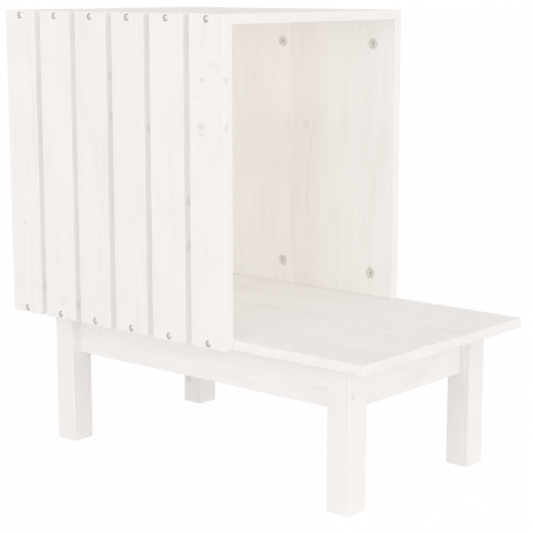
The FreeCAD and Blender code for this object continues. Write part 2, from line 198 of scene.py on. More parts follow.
def makePineFigure():
    inputs = ("Vector", "Ring", "Pith", "Strip", "Swirl")
    tree, given, result = newGroup("pineFigure", inputs, ("Latewood", *pine["noises"], "Tone"))
    across, depth, along = splitVector(tree, given["Vector"])
    # every strip has its own heart, drift and tone
    number = calc(tree, "FLOOR", calc(tree, "DIVIDE", across, given["Strip"]))
    lot = addNode(tree, "ShaderNodeTexWhiteNoise", noise_dimensions="1D")
    feed(tree, lot.inputs["W"], number)
    red, green, blue = splitColour(tree, lot.outputs["Color"])
    middle = calc(tree, "MULTIPLY", calc(tree, "ADD", number, 0.5), given["Strip"])
    aside = calc(tree, "MULTIPLY", calc(tree, "SUBTRACT", red, 0.5), given["Strip"])
    offHeart = calc(tree, "SUBTRACT", calc(tree, "SUBTRACT", across, middle), aside)
    run = calc(tree, "MULTIPLY_ADD", green, pine["lotShift"], along)
    # slow waviness along the board
    squashed = [calc(tree, "MULTIPLY", part, pine["waveSquash"]) for part in (across, depth)]
    slow = noise(tree, joinVector(tree, *squashed, run), pine["waveScale"])["Color"]
    waveRed, waveGreen, _ = splitColour(tree, slow)
    driftAcross, driftDepth = [calc(tree, "SUBTRACT", wave, 0.5) for wave in (waveRed, waveGreen)]
    ringAcross = calc(tree, "MULTIPLY_ADD", driftAcross, pine["waveAcross"], offHeart)
    deep = calc(tree, "MULTIPLY", given["Pith"], calc(tree, "ADD", lot.outputs["Value"], 0.5))
    ringDepth = calc(tree, "MULTIPLY_ADD", driftDepth, pine["waveDepth"], calc(tree, "ADD", depth, deep))
    radius = vectorLength(tree, joinVector(tree, ringAcross, ringDepth, 0.0))
    leaning = calc(tree, "MULTIPLY_ADD", run, pine["lean"], radius)
    swirled = calc(tree, "ADD", leaning, given["Swirl"])
    # uneven years
    years = addNode(tree, "ShaderNodeTexNoise", noise_dimensions="1D")
    feed(tree, years.inputs["W"], calc(tree, "MULTIPLY", swirled, pine["yearScale"]))
    even = calc(tree, "DIVIDE", swirled, given["Ring"])
    turn = calc(tree, "FRACT", calc(tree, "MULTIPLY_ADD", years.outputs["Fac"], pine["yearSpread"], even))
    rise, fall = [smoothRange(tree, turn, *pine[part]) for part in ("lateRise", "lateFall")]
    feed(tree, result["Latewood"], calc(tree, "MULTIPLY", rise, fall))
    for effect, (stretch, *settings) in pine["noises"].items():
        drawn = joinVector(tree, across, depth, calc(tree, "MULTIPLY", run, stretch))
        feed(tree, result[effect], noise(tree, drawn, *settings)["Fac"])
    feed(tree, result["Tone"], blue)
    return tree


# one knot: a dark ragged core, and the swirl that it gives the rings round it; reaches are shares of its size
knotShape = {
    "ragScale": 210.0, "ragDetail": 4.0, "rag": 1.5, "yearScale": 17.0, "yearDepth": 0.16,
    "bodyRange": (0.0, 0.7, 0.62, 0.84), "edgeRange": (0.30, 1.30, 1.0, 0.0),
    "swirlRange": (0.0, 3.5, 1.0, 0.0),
}


def makeKnot(look):
    tree, given, result = newGroup("knot", ("Vector", "Centre", "Size"), ("Core", "Swirl"))
    apart = vectorCalc(tree, "SUBTRACT", given["Vector"], given["Centre"])
    rag = noise(tree, given["Vector"], look["ragScale"], look["ragDetail"])["Fac"]
    ragged = calc(tree, "SUBTRACT", rag, 0.5)
    reach = vectorLength(tree, vectorCalc(tree, "DIVIDE", apart, given["Size"]))
    away = calc(tree, "MULTIPLY_ADD", ragged, look["rag"], reach)
    years = calc(tree, "SINE", calc(tree, "MULTIPLY", away, look["yearScale"]))
    body = calc(tree, "MULTIPLY_ADD", years, look["yearDepth"], smoothRange(tree, away, *look["bodyRange"]))
    feed(tree, result["Core"], calc(tree, "MULTIPLY", body, smoothRange(tree, away, *look["edgeRange"])))
    feed(tree, result["Swirl"], smoothRange(tree, reach, *look["swirlRange"]))
    return tree


pineFigure = makePineFigure()
knot = makeKnot(knotShape)

# thin white paint on pine, what shows through it, and the painted shade in the screws' counterbores
paint = {
    "white": (0.945, 0.942, 0.926, 1), "coverRange": (0.25, 0.75, 0.5, 1.5),
    "lateColour": (0.810, 0.785, 0.755, 1), "lateShare": 0.13,
    "noiseRanges": {
        "Fibre": (0.45, 0.75, 0.0, 0.09), "Blotch": (0.48, 0.75, 0.0, 0.16), "Streak": (0.5, 0.8, 0.0, 0.11),
    },
    "heartColour": (0.890, 0.812, 0.785, 1), "heartLots": (0.5, 1.0), "heartPatches": (0.3, 0.6, 0.6, 1.0),
    "knotColour": (0.470, 0.418, 0.390, 1), "knotShare": 0.50,
    "lineColour": (0.400, 0.310, 0.260, 1), "lineShare": 0.17,
    # dark grey of the painted shade inside the counterbores
    "boreShadeColour": (0.400, 0.370, 0.350, 1),
    "swirl": 0.010,    # metres that the rings move round a knot
    "roughRange": (0.3, 0.7, 0.52, 0.68), "gloss": 0.05, "bump": 0.3, "relief": 0.0002,
    "lateRelief": 0.6, "poreScale": 1400.0, "poreDetail": 1.0, "poreRelief": 0.35, "knotRelief": -0.7,
}


def boardVectors(tree, look):
    # object coordinates, and the same turned so that the letters run across, through and along the grain
    coords = addNode(tree, "ShaderNodeTexCoord").outputs["Object"]
    parts = splitVector(tree, coords)
    turned = joinVector(tree, *[parts["XYZ".index(letter)] for letter in look["grain"]])
    return coords, vectorCalc(tree, "ADD", turned, [value * mm for value in look["start"]])


def allKnots(tree, coords, knots):
    core, swirl = 0.0, 0.0
    for centre, size, strength in knots:
        made = placeGroup(tree, knot, Vector=coords, Centre=[value * mm for value in centre],
                          Size=[value * mm for value in size])
        core = calc(tree, "MAXIMUM", calc(tree, "MULTIPLY", made["Core"], strength), core)
        swirl = calc(tree, "ADD", made["Swirl"], swirl)
    return core, swirl


def heartwood(tree, coords, figure, look):
    # reddish tint: strips whose lot is high, and the band that the look names
    amount = smoothRange(tree, figure["Tone"], *paint["heartLots"], 0.0, look["heartShare"])
    band = look.get("heartBand")
    if band:
        place = splitVector(tree, coords)[band["axis"]]
        drift = calc(tree, "SUBTRACT", figure["Blotch"], 0.5)
        sway = calc(tree, "MULTIPLY_ADD", drift, band["sway"] * mm, place)
        off = calc(tree, "ABSOLUTE", calc(tree, "SUBTRACT", sway, band["middle"] * mm))
        full, none = [share * band["half"] * mm for share in band["edge"]]
        amount = calc(tree, "MAXIMUM", amount, smoothRange(tree, off, full, none, band["share"], 0.0))
    return calc(tree, "MULTIPLY", amount, smoothRange(tree, figure["Blotch"], *paint["heartPatches"]))


def resinLine(tree, coords, line):
    # a fine dark line that leaves a knot sideways and bends into the grain
    x, _, z = splitVector(tree, coords)
    fall = calc(tree, "SUBTRACT", line["top"] * mm, z)
    bend = calc(tree, "EXPONENT", calc(tree, "DIVIDE", fall, -line["bend"] * mm))
    middle = calc(tree, "MULTIPLY_ADD", bend, line["reach"] * mm, line["foot"] * mm)
    off = calc(tree, "ABSOLUTE", calc(tree, "SUBTRACT", x, middle))
    thin = smoothRange(tree, off, line["core"] * mm, line["width"] * mm, 1.0, 0.0)
    start = smoothRange(tree, fall, 0.0, line["start"] * mm)
    end = smoothRange(tree, fall, line["fadeShare"] * line["length"] * mm, line["length"] * mm, 1.0, 0.0)
    return calc(tree, "MULTIPLY", thin, calc(tree, "MULTIPLY", start, end))


def boreShade(tree, coords, bores):
    # painted shade inside the counterbores, which stand in a row at two heights: their walls are darkened to
    # stand for the recesses' shade
    x, _, z = splitVector(tree, coords)
    pitch = bores["pitch"] * mm
    step = calc(tree, "DIVIDE", calc(tree, "SUBTRACT", x, bores["first"] * mm), pitch)
    across = calc(tree, "MULTIPLY", calc(tree, "SUBTRACT", step, calc(tree, "ROUND", step)), pitch)
    low, high = [calc(tree, "ABSOLUTE", calc(tree, "SUBTRACT", z, level * mm)) for level in bores["levels"]]
    reach = vectorLength(tree, joinVector(tree, across, calc(tree, "MINIMUM", low, high), 0.0))
    edge = bores["radius"] + bores["rim"]
    return smoothRange(tree, reach, bores["radius"] * mm, edge * mm, bores["share"], 0.0)


def figureOf(tree, vector, look, swirl):
    sizes = {label: look[label.lower()] * mm for label in ("Ring", "Pith", "Strip")}
    return placeGroup(tree, pineFigure, Vector=vector, Swirl=swirl, **sizes)


def paintedPine(name, look):
    made, tree, surface = newMaterial(name)
    coords, vector = boardVectors(tree, look)
    core, swirl = allKnots(tree, coords, look["knots"])
    figure = figureOf(tree, vector, look, calc(tree, "MULTIPLY", swirl, paint["swirl"]))
    # paint covers unevenly, so the grain comes through in places
    cover = smoothRange(tree, figure["Blotch"], *paint["coverRange"])
    late = calc(tree, "MULTIPLY", calc(tree, "MULTIPLY", figure["Latewood"], paint["lateShare"]), cover)
    colour = mixColour(tree, late, paint["white"], paint["lateColour"])
    colour = mixColour(tree, heartwood(tree, coords, figure, look), colour, paint["heartColour"])
    for effect, noiseRange in paint["noiseRanges"].items():
        colour = mixColour(tree, smoothRange(tree, figure[effect], *noiseRange), colour, paint["lateColour"])
    colour = mixColour(tree, calc(tree, "MULTIPLY", core, paint["knotShare"]), colour, paint["knotColour"])
    if "resinLine" in look:
        line = calc(tree, "MULTIPLY", resinLine(tree, coords, look["resinLine"]), paint["lineShare"])
        colour = mixColour(tree, line, colour, paint["lineColour"])
    # the counterbores' walls darkened: painted shade of the recesses
    if "bores" in look:
        colour = mixColour(tree, boreShade(tree, coords, look["bores"]), colour, paint["boreShadeColour"])
    feed(tree, surface.inputs["Base Color"], colour)
    feed(tree, surface.inputs["Roughness"], smoothRange(tree, figure["Blotch"], *paint["roughRange"]))
    pores = noise(tree, coords, paint["poreScale"], paint["poreDetail"])["Fac"]
    relief = calc(tree, "MULTIPLY_ADD", figure["Latewood"], paint["lateRelief"], figure["Fibre"])
    relief = calc(tree, "MULTIPLY_ADD", pores, paint["poreRelief"], relief)
    relief = calc(tree, "MULTIPLY_ADD", core, paint["knotRelief"], relief)
    addBump(tree, surface, relief, paint["bump"], paint["relief"])
    surface.inputs["Specular IOR Level"].default_value = paint["gloss"]
    return made


# how each board was sawn: the letters give the axes across, through and along the grain, lengths are in
# millimetres, and every knot is a place, a size and a strength
slatLook = {
    "grain": "XYZ", "start": (300, 180, 0), "ring": 3.6, "pith": 46, "strip": 68, "heartShare": 0.10,
    # the screws' counterbores in the slats, and the share of painted shade inside them
    "bores": {
        "count": 6, "first": -271, "pitch": 68, "levels": (193.5, 593.5),
        "radius": 4.2, "rim": 0.3, "share": 0.42,
    },
    "knots": [
        ((62, -180, 520), (4, 12, 4), 0.55), ((60, -180, 464), (6, 12, 5), 0.55),
        ((61, -180, 454), (5, 12, 4), 0.3), ((98, -177, 521), (3, 5, 5), 0.5),
        ((98, -177, 463), (3, 5, 8), 0.35), ((77, -180, 538), (5, 12, 6), 0.2),
        ((86, -180, 534), (4, 12, 7), 0.18), ((72, -180, 503), (6, 12, 4), 0.14),
        ((53, -180, 498), (5, 12, 4), 0.12),
        ((-273, -180, 312), (3, 8, 4), 0.6), ((-200, -180, 212), (9, 8, 8), 0.25),
        ((-106, -172, 519), (5, 5, 7), 0.5), ((-106, -172, 466), (5, 5, 6), 0.5),
        ((-38, -172, 455), (5, 5, 7), 0.5), ((30, -172, 368), (5, 5, 7), 0.6),
        ((30, -172, 312), (5, 5, 7), 0.6), ((-242, -172, 226), (5, 5, 8), 0.5),
        ((-174, -172, 208), (5, 5, 8), 0.5),
    ],
}
rightWallLook = {
    "grain": "XYZ", "start": (300, 0, 0), "ring": 3.4, "pith": 40, "strip": 71, "heartShare": 0.12,
    "heartBand": {"axis": 0, "middle": -60, "half": 32, "share": 0.40, "sway": 50, "edge": (0.6, 1.2)},
    "resinLine": {
        "top": 440, "foot": -56, "reach": 15, "bend": 45, "length": 205, "core": 0.2, "width": 1.0,
        "start": 4, "fadeShare": 0.6,
    },
    "knots": [
        ((-58, 167, 438), (6, 14, 7), 0.45), ((-156, 167, 500), (4, 14, 11), 0.2),
        ((-156, 167, 390), (4, 14, 9), 0.1), ((0, 167, 211), (4, 14, 6), 0.28),
        ((-210, 180, 330), (7, 8, 9), 0.5), ((40, 180, 480), (6, 8, 8), 0.4),
    ],
}
backWallLook = {
    "grain": "YXZ", "start": (165, 300, 1100), "ring": 3.8, "pith": 44, "strip": 66, "heartShare": 0.25,
    "knots": [
        ((-287, -60, 420), (14, 7, 9), 0.4), ((-287, 95, 300), (14, 6, 8), 0.4),
        ((-300, 20, 500), (14, 7, 9), 0.5), ((-300, -110, 260), (14, 6, 8), 0.4),
    ],
}
platformLook = {
    "grain": "YZX", "start": (165, -187, 2300), "ring": 3.5, "pith": 38, "strip": 69, "heartShare": 0.03,
    "knots": [
        ((-42, 4, 200), (10, 4, 8), 0.3), ((183, -145, 200), (8, 3, 8), 0.3),
        ((210, 12, 200), (13, 4, 8), 0.3), ((242, 106, 200), (10, 5, 8), 0.2),
        ((89, 42, 200), (11, 4, 8), 0.2),
    ],
}
roofLook = {
    "grain": "YZX", "start": (165, -587, 3700), "ring": 3.7, "pith": 42, "strip": 69, "heartShare": 0.12,
    "knots": [
        ((-180, -60, 600), (10, 7, 10), 0.45), ((10, 70, 600), (9, 6, 10), 0.4),
        ((-90, 130, 600), (10, 7, 10), 0.4),
    ],
}
legLook = {
    "grain": "XYZ", "start": (0, 0, 5200), "ring": 3.0, "pith": 150, "strip": 170, "heartShare": 0.08,
    "knots": [
        ((260, -132, 149), (6, 5, 6), 0.45), ((261, 120, 165), (6, 5, 6), 0.3),
        ((-251, 120, 35), (6, 5, 6), 0.5), ((-243, -139, 70), (4, 6, 6), 0.15),
        ((-260, 140, 90), (7, 5, 7), 0.4),
    ],
}
sideApronLook = {
    "grain": "ZYX", "start": (-127, 0, 6400), "ring": 3.3, "pith": 40, "strip": 60, "heartShare": 0.08,
    "knots": [
        ((-186, -125, 158), (6, 8, 4), 0.25), ((202, -125, 148), (14, 8, 3), 0.25),
        ((60, 140, 150), (9, 8, 6), 0.4),
    ],
}
endApronLook = {
    "grain": "ZXY", "start": (-127, 0, 7600), "ring": 3.3, "pith": 40, "strip": 60, "heartShare": 0.08,
    "knots": [((246, 60, 160), (9, 8, 6), 0.15), ((-246, -20, 150), (9, 8, 6), 0.4)],
}


def dress(material, *names):
    for name in names:
        slots = nodes[name].data.materials
        slots.clear()
        slots.append(material)


bores = slatLook["bores"]
dress(paintedPine("slatPaint", slatLook), *[f"slat_{number + 1}" for number in range(bores["count"])])
dress(paintedPine("rightWallPaint", rightWallLook), "right_wall")
dress(paintedPine("backWallPaint", backWallLook), "back_wall")
dress(paintedPine("platformPaint", platformLook), "platform")
dress(paintedPine("roofPaint", roofLook), "roof")
dress(paintedPine("legPaint", legLook), *[name for name in nodes if name.endswith("_leg")])
dress(paintedPine("sideApronPaint", sideApronLook), "left_apron", "right_apron")
dress(paintedPine("endApronPaint", endApronLook), "front_apron", "back_apron")
print("boards painted")


# bare pine of the corner blocks
barePineLook = {
    "grain": "XYZ", "start": (40, 20, 8800), "ring": 2.6, "pith": 60, "strip": 400,
    "early": (0.680, 0.500, 0.310, 1), "late": (0.470, 0.270, 0.120, 1), "fleck": (0.560, 0.380, 0.210, 1),
    "lateShare": 0.75, "fleckRange": (0.4, 0.8, 0.0, 0.5), "roughRange": (0.3, 0.7, 0.55, 0.72),
    "bump": 0.35, "relief": 0.0002,
}


def barePine(name, look):
    made, tree, surface = newMaterial(name)
    _, vector = boardVectors(tree, look)
    figure = figureOf(tree, vector, look, 0.0)
    late = calc(tree, "MULTIPLY", figure["Latewood"], look["lateShare"])
    colour = mixColour(tree, late, look["early"], look["late"])
    colour = mixColour(tree, smoothRange(tree, figure["Fibre"], *look["fleckRange"]), colour, look["fleck"])
    feed(tree, surface.inputs["Base Color"], colour)
    feed(tree, surface.inputs["Roughness"], smoothRange(tree, figure["Fibre"], *look["roughRange"]))
    relief = calc(tree, "ADD", figure["Latewood"], figure["Fibre"])
    addBump(tree, surface, relief, look["bump"], look["relief"])
    return made


dress(barePine("barePine", barePineLook), *[name for name in nodes if name.endswith("_corner_block")])


# beech of the dowels: short flecks in an even ground
beechLook = {
    "ground": (0.640, 0.450, 0.290, 1), "fleck": (0.430, 0.260, 0.140, 1), "pale": (0.720, 0.540, 0.370, 1),
    "fleckNoise": (900.0, 3.0, 0.6), "cloudNoise": (90.0, 2.0),  # scale, detail and roughness
    "paleRange": (0.35, 0.7), "fleckRange": (0.55, 0.75, 0.0, 0.6), "roughRange": (0.3, 0.7, 0.5, 0.68),
    "bump": 0.3, "relief": 0.0001,
}


def beechWood(name, look):
    made, tree, surface = newMaterial(name)
    coords = addNode(tree, "ShaderNodeTexCoord").outputs["Object"]
    flecks = noise(tree, coords, *look["fleckNoise"])["Fac"]
    clouds = noise(tree, coords, *look["cloudNoise"])["Fac"]
    colour = mixColour(tree, smoothRange(tree, clouds, *look["paleRange"]), look["ground"], look["pale"])
    colour = mixColour(tree, smoothRange(tree, flecks, *look["fleckRange"]), colour, look["fleck"])
    feed(tree, surface.inputs["Base Color"], colour)
    feed(tree, surface.inputs["Roughness"], smoothRange(tree, flecks, *look["roughRange"]))
    addBump(tree, surface, flecks, look["bump"], look["relief"])
    return made


# metal: plated steel for the screws and bolts, dull cast zinc for the cams
zincSteelLook = {
    "bright": (0.940, 0.930, 0.920, 1), "dull": (0.880, 0.870, 0.860, 1), "stain": (0.800, 0.785, 0.760, 1),
    "cloudScale": 420.0, "grainScale": 5200.0, "roughRange": (0.3, 0.7, 0.42, 0.24),
    "bump": 0.2, "relief": 0.00002, "metallic": 1.0,
}
castZincLook = {
    "bright": (0.840, 0.830, 0.810, 1), "dull": (0.730, 0.720, 0.700, 1), "stain": (0.660, 0.650, 0.630, 1),
    "cloudScale": 300.0, "grainScale": 2600.0, "roughRange": (0.3, 0.7, 0.62, 0.42),
    "bump": 0.45, "relief": 0.00006, "metallic": 0.85,
}
# what both metals share
metalFinish = {
    "brightRange": (0.35, 0.65), "stainRange": (0.6, 0.75, 0.0, 0.6), "spotRatio": 3.1, "spotDetail": 1.0,
    "grainRough": 0.6, "cloudRelief": 0.6,
}


def castMetal(name, look):
    made, tree, surface = newMaterial(name)
    finish = metalFinish
    coords = addNode(tree, "ShaderNodeTexCoord").outputs["Object"]
    clouds = noise(tree, coords, look["cloudScale"])["Fac"]
    grain = noise(tree, coords, look["grainScale"], roughness=finish["grainRough"])["Fac"]
    spots = noise(tree, coords, look["cloudScale"] * finish["spotRatio"], finish["spotDetail"])["Fac"]
    colour = mixColour(tree, smoothRange(tree, clouds, *finish["brightRange"]), look["dull"], look["bright"])
    colour = mixColour(tree, smoothRange(tree, spots, *finish["stainRange"]), colour, look["stain"])
    feed(tree, surface.inputs["Base Color"], colour)
    feed(tree, surface.inputs["Roughness"], smoothRange(tree, clouds, *look["roughRange"]))
    surface.inputs["Metallic"].default_value = look["metallic"]
    relief = calc(tree, "MULTIPLY_ADD", clouds, finish["cloudRelief"], grain)
    addBump(tree, surface, relief, look["bump"], look["relief"])
    return made


zincSteel = castMetal("zincSteel", zincSteelLook)
castZinc = castMetal("castZinc", castZincLook)
beech = beechWood("beech", beechLook)
print("metal and bare wood mixed")


# modelling helpers
roundSides = {"large": 64, "middle": 48, "small": 32, "thin": 24}
overrun = 1.0  # millimetres that a cutting tool stands out of the piece
flat = 0.99    # a face is level where its normal's Z is past this


def selectOnly(piece):
    bpy.ops.object.select_all(action="DESELECT")
    piece.select_set(True)
    bpy.context.view_layer.objects.active = piece


def named(name):
    piece = bpy.context.object
    piece.name = name
    piece.data.name = name
    return piece


def editAll(piece):
    selectOnly(piece)
    bpy.ops.object.mode_set(mode="EDIT")
    bpy.ops.mesh.select_mode(type="FACE")
    bpy.ops.mesh.select_all(action="SELECT")


def pickFaces(piece, wanted):
    # leaves the piece in edit mode with only the wanted faces selected
    selectOnly(piece)
    bpy.context.tool_settings.mesh_select_mode = (False, False, True)
    mesh = piece.data
    mesh.vertices.foreach_set("select", [False] * len(mesh.vertices))
    mesh.edges.foreach_set("select", [False] * len(mesh.edges))
    mesh.polygons.foreach_set("select", [bool(wanted(face.center, face.normal)) for face in mesh.polygons])
    bpy.ops.object.mode_set(mode="EDIT")


def pickPoints(piece, wanted):
    # the same for points
    selectOnly(piece)
    bpy.context.tool_settings.mesh_select_mode = (True, False, False)
    mesh = piece.data
    mesh.polygons.foreach_set("select", [False] * len(mesh.polygons))
    mesh.edges.foreach_set("select", [False] * len(mesh.edges))
    mesh.vertices.foreach_set("select", [bool(wanted(point.co)) for point in mesh.vertices])
    bpy.ops.object.mode_set(mode="EDIT")


def tidyMesh(piece, angle=32, apart=0.000002):
    # doubles merged, normals outward, smooth shading up to the angle
    editAll(piece)
    bpy.ops.mesh.remove_doubles(threshold=apart)
    bpy.ops.mesh.normals_make_consistent(inside=False)
    bpy.ops.object.mode_set(mode="OBJECT")
    bpy.ops.object.shade_smooth_by_angle(angle=math.radians(angle))


def turnedPiece(name, sides, outline):
    # a disc is extruded ring by ring along the (radius, height) outline, from the bottom up, in millimetres
    bpy.ops.object.select_all(action="DESELECT")
    radius, height = outline[0]
    bpy.ops.mesh.primitive_circle_add(vertices=sides, radius=radius * mm, fill_type="NGON",
                                      location=(0, 0, 0))
    piece = named(name)
    editAll(piece)
    bpy.ops.transform.translate(value=(0, 0, height * mm))
    for nextRadius, nextHeight in outline[1:]:
        rise = (nextHeight - height) * mm
        bpy.ops.mesh.extrude_region_move(TRANSFORM_OT_translate={"value": (0, 0, rise)})
        ratio = nextRadius / radius
        bpy.ops.transform.resize(value=(ratio, ratio, 1), center_override=(0, 0, nextHeight * mm))
        radius, height = nextRadius, nextHeight
    bpy.ops.object.mode_set(mode="OBJECT")
    tidyMesh(piece)
    return piece


def boxPiece(name, low, high):
    bpy.ops.object.select_all(action="DESELECT")
    middle = [(a + b) / 2 * mm for a, b in zip(low, high)]
    size = [(b - a) * mm for a, b in zip(low, high)]
    bpy.ops.mesh.primitive_cube_add(size=1, location=middle, scale=size)
    piece = named(name)
    bpy.ops.object.transform_apply(location=True, rotation=True, scale=True)
    return piece


def applyModifier(piece, kind, **settings):
    selectOnly(piece)
    made = piece.modifiers.new(kind.lower(), kind)
    for key, value in settings.items():
        setattr(made, key, value)
    bpy.ops.object.modifier_apply(modifier=made.name)


def shapeWith(piece, tool, operation="DIFFERENCE"):
    # boolean with a tool that is used up
    applyModifier(piece, "BOOLEAN", object=tool, operation=operation, solver="EXACT")
    bpy.data.objects.remove(tool, do_unlink=True)


def crossTool(look, top):
    # driver recess: two arms that narrow towards the bottom
    long, wide, floor = look["crossLength"] / 2, look["crossWidth"] / 2, top - look["crossDepth"]
    arms = []
    for halfX, halfY in ((long, wide), (wide, long)):
        arm = boxPiece("crossArm", (-halfX, -halfY, floor), (halfX, halfY, top + overrun))
        pickFaces(arm, lambda middle, normal: normal.z < -flat)
        bpy.ops.transform.resize(value=(look["crossTaper"], look["crossTaper"], 1),
                                 center_override=(0, 0, floor * mm))
        bpy.ops.object.mode_set(mode="OBJECT")
        arms.append(arm)
    shapeWith(arms[0], arms[1], "UNION")
    return arms[0]


def setDown(piece, place, axisZ, axisX=None):
    # puts a piece that was modelled at the origin in its place, with its own Z along axisZ
    forward = Vector(axisZ).normalized()
    side = (Vector(axisX) if axisX else forward.orthogonal()).normalized()
    turn = Matrix((side, forward.cross(side), forward)).transposed().to_4x4()
    piece.matrix_world = Matrix.Translation(Vector(place) * mm) @ turn
    selectOnly(piece)
    bpy.ops.object.transform_apply(location=True, rotation=True, scale=True)


def copyOf(piece):
    copy = piece.copy()
    copy.data = piece.data.copy()
    bpy.context.scene.collection.objects.link(copy)
    return copy


def copiesOf(model, name, places):
    # one joined piece from copies at (place, axisZ) pairs; the model is used up
    made = []
    for place, axisZ in places:
        copy = copyOf(model)
        setDown(copy, place, axisZ)
        made.append(copy)
    bpy.data.objects.remove(model, do_unlink=True)
    bpy.ops.object.select_all(action="DESELECT")
    for copy in made:
        copy.select_set(True)
    bpy.context.view_layer.objects.active = made[0]
    bpy.ops.object.join()
    return named(name)


def handOver(piece, node, body, material):
    # a finished piece stands for its CAD node
    piece.data.materials.clear()
    piece.data.materials.append(material)
    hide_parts(node)
    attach(piece, body)


def threadOutline(start, end, pitch, core, crest, rise=0.4, land=0.55):
    # ridges from start up to end, as (radius, height) points; a crest lies between two shares of the pitch
    rows = []
    turns = int(round((end - start) / pitch))
    for number in range(turns):
        base = start + number * (end - start) / turns
        rows += [(core, base), (crest, base + rise * pitch), (crest, base + land * pitch)]
    return rows + [(core, end)]


# faces, joints and spots of the hood's fittings, in millimetres
hood = {
    "platformTop": 200.0, "roofUnder": 587.0, "camEdge": 33.0,  # from a joint to the cams' middles
    "wallFace": 167.0, "wallMid": 173.5, "wallSpots": {"back": -262.0, "middle": -101.0, "front": 60.0},
    "backFace": -287.0, "backMid": -293.5, "backSpots": {"left": -99.0, "right": 101.0},
}

# cam locks: a cast disc with a rim, a cross recess, an arrow and the hooked pocket for the bolt's ball
camLook = {
    "radius": 7.4, "height": 10.0, "rim": 0.9, "dish": 0.45, "edge": 0.25, "edgeSteps": 2, "edgeAngle": 40,
    "crossLength": 6.8, "crossWidth": 1.7, "crossDepth": 2.0, "crossTaper": 0.62,
    "pocketRadius": 3.9, "throw": 0.75, "discThick": 3.0, "entrance": 6.8, "slot": 4.2, "middle": 6.5,
    "arrowPlace": -4.75, "arrowSize": 1.1, "arrowDepth": 0.8, "arrowTaper": 0.8, "arrowSides": 3,
}
# where each cam sits: middle of its face, outward direction, and direction to its bolt's seat
camPlaces = {}
for level, height, up in (("bottom", hood["platformTop"] + hood["camEdge"], -1),
                          ("top", hood["roofUnder"] - hood["camEdge"], 1)):
    for spot, x in hood["wallSpots"].items():
        camPlaces[f"right_wall_cam_{level}_{spot}"] = ((x, hood["wallFace"], height), (0, -1, 0), (0, 0, up))
    for spot, y in hood["backSpots"].items():
        camPlaces[f"back_wall_cam_{level}_{spot}"] = ((hood["backFace"], y, height), (1, 0, 0), (0, 0, up))


def makeCam(look):
    radius, height, disc = look["radius"], look["height"], -look["discThick"]
    cam = turnedPiece("camModel", roundSides["large"], [(radius, -height), (radius, 0)])
    applyModifier(cam, "BEVEL", width=look["edge"] * mm, segments=look["edgeSteps"], limit_method="ANGLE",
                  angle_limit=math.radians(look["edgeAngle"]))
    pickFaces(cam, lambda middle, normal: normal.z > flat and middle.length < mm)
    bpy.ops.mesh.inset(thickness=look["rim"] * mm, depth=0)
    bpy.ops.mesh.inset(thickness=look["dish"] * mm, depth=-look["dish"] * mm)
    bpy.ops.object.mode_set(mode="OBJECT")
    low, reach, wide = -height - 2 * overrun, radius + 2 * overrun, look["pocketRadius"]
    pocket = turnedPiece("pocketTool", roundSides["middle"], [(wide, low), (wide, disc)])
    setDown(pocket, (-look["throw"], 0, 0), (0, 0, 1), (1, 0, 0))
    shapeWith(cam, pocket)
    half = look["entrance"] / 2
    shapeWith(cam, boxPiece("entranceTool", (-reach, -half, low), (0, half, disc)))
    half, middle = look["slot"] / 2, -look["middle"]
    shapeWith(cam, boxPiece("runTool", (-reach, -reach, middle - half), (reach, 0, middle + half)))
    shapeWith(cam, boxPiece("hookTool", (0, -half, middle - half), (reach, half, middle + half)))
    shapeWith(cam, crossTool(look, 0))
    size = look["arrowSize"]
    arrow = turnedPiece("arrowTool", look["arrowSides"],
                        [(size * look["arrowTaper"], -look["arrowDepth"]), (size, overrun)])
    setDown(arrow, (look["arrowPlace"], 0, 0), (0, 0, 1), (0, 1, 0))
    shapeWith(cam, arrow)
    tidyMesh(cam)
    return cam


camModel = makeCam(camLook)
for camNode, (camPlace, outward, toBolt) in camPlaces.items():
    cam = copyOf(camModel)
    words = camNode.split("_")
    cam.name = cam.data.name = words[0] + "".join(word.capitalize() for word in words[1:])
    setDown(cam, camPlace, outward, toBolt)
    handOver(cam, camNode, camNode, castZinc)
bpy.data.objects.remove(camModel, do_unlink=True)
print("cam locks made:", len(camPlaces))


# slat screws: round heads with nearly flat tops in counterbores, one at each end of every slat
slatScrewLook = {
    "length": 36.0, "point": 0.2, "tip": 4.0, "plain": 12.0, "core": 1.3, "crest": 1.72, "pitch": 1.8,
    "neck": 1.55, "runOut": 0.4, "head": 3.7, "headHeight": 2.2, "rim": 0.15, "seat": -177.6,
    # shares of the head's radius and height, from the rim to the top
    "rounding": ((1.0, 0.30), (0.97, 0.52), (0.90, 0.72), (0.80, 0.86), (0.66, 0.95), (0.42, 0.99), (0.1, 1)),
    "crossLength": 3.4, "crossWidth": 0.6, "crossDepth": 0.9, "crossTaper": 0.5,
}


def makeSlatScrew(look):
    tip, rim = look["tip"] - look["length"], look["rim"]
    outline = [(look["point"], -look["length"]), (look["core"], tip)]
    outline += threadOutline(tip, -look["plain"], look["pitch"], look["core"], look["crest"])
    outline += [(look["neck"], look["runOut"] - look["plain"]), (look["neck"], 0)]
    outline += [(look["head"] - rim, 0), (look["head"], rim)]
    outline += [(look["head"] * out, look["headHeight"] * up) for out, up in look["rounding"]]
    screw = turnedPiece("slatScrewModel", roundSides["small"], outline)
    shapeWith(screw, crossTool(look, look["headHeight"]))
    tidyMesh(screw)
    return screw


slatScrewPlaces = [((bores["first"] + bores["pitch"] * number, slatScrewLook["seat"], height), (0, -1, 0))
                   for number in range(bores["count"]) for height in bores["levels"]]
slatScrews = copiesOf(makeSlatScrew(slatScrewLook), "slatScrews", slatScrewPlaces)
handOver(slatScrews, "slat_screws", "house", zincSteel)
print("slat screws made:", len(slatScrewPlaces))


